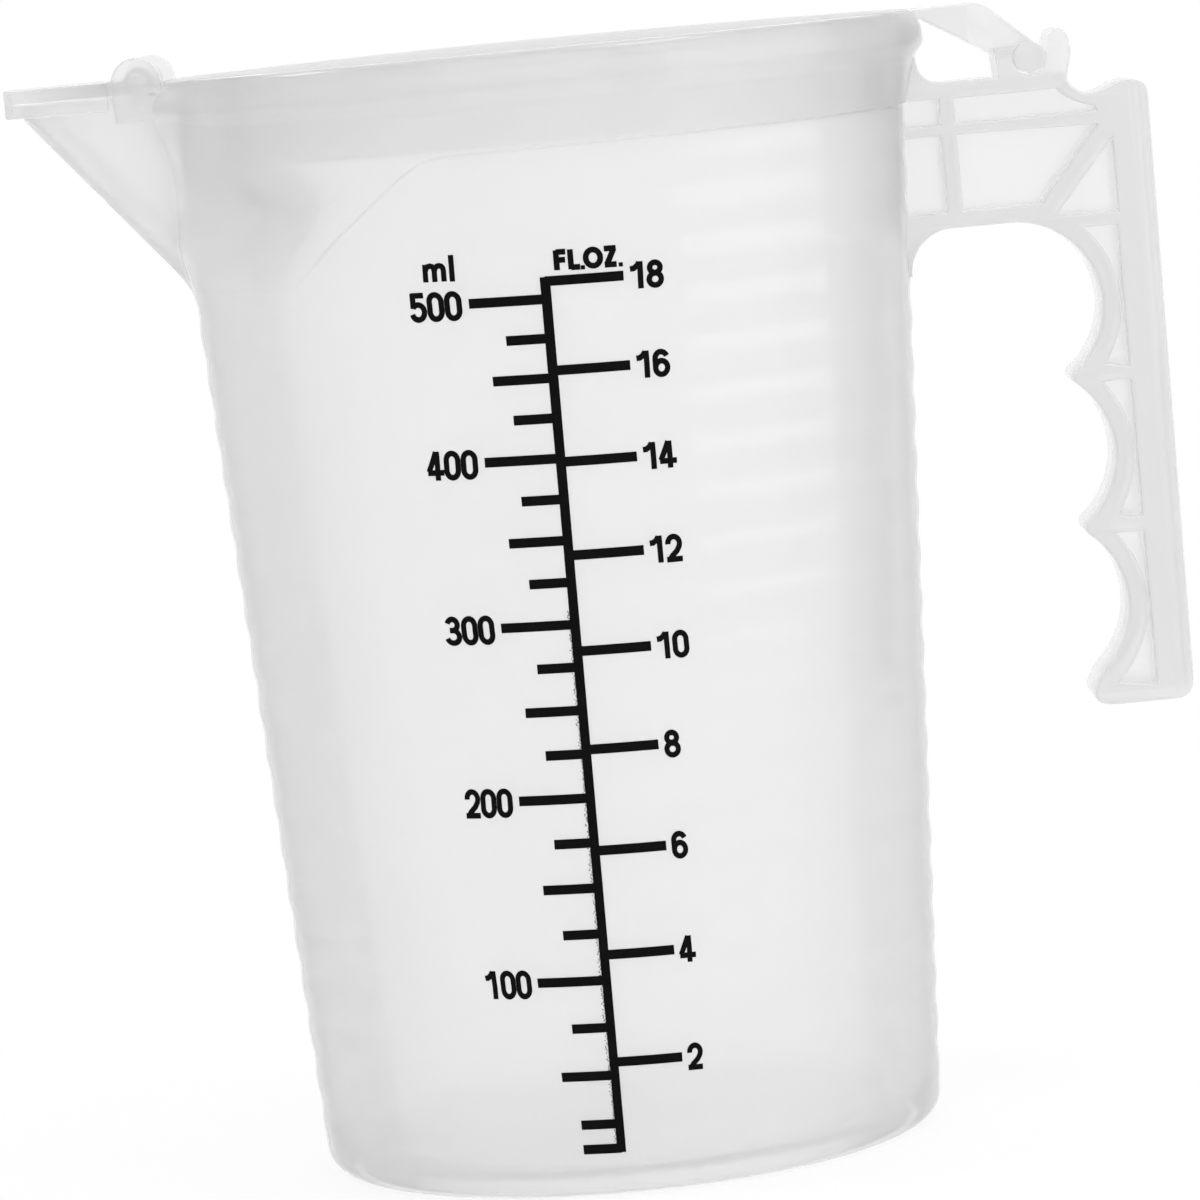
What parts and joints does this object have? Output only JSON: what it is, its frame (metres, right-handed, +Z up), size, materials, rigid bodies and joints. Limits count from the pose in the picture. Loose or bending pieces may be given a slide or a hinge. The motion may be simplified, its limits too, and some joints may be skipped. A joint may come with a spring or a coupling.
{
  "type": "measuring jug",
  "caption": "Tapered 500 ml measuring jug with a pouring spout under a hinged cover, a lid hinged at the handle, and an open handle with finger grooves, in translucent plastic.",
  "frame": {"origin": "centre of the flat base, on the table", "axes": "+Z up, the spout points to -X, the handle to +X, the printed scale faces -Y"},
  "size_m": [0.1379, 0.0948, 0.1381],
  "materials": {
    "natural_polypropylene": "satin, milky translucent"
  },
  "bodies": {
    "jug": {"vessel": "natural_polypropylene", "handle": "natural_polypropylene"},
    "lid": {"lid": "natural_polypropylene"},
    "spout_cover": {"spout_cover": "natural_polypropylene"}
  },
  "joints": [
    {"name": "lid_hinge", "type": "hinge", "parent": "jug", "child": "lid", "pos_m": [0.0597, 0, 0.1279], "axis": [0, 1, 0], "range_deg": [0, 110]},
    {"name": "spout_cover_hinge", "type": "hinge", "parent": "jug", "child": "spout_cover", "pos_m": [-0.0472, 0, 0.1352], "axis": [0, 1, 0], "range_deg": [0, 100]}
  ]
}
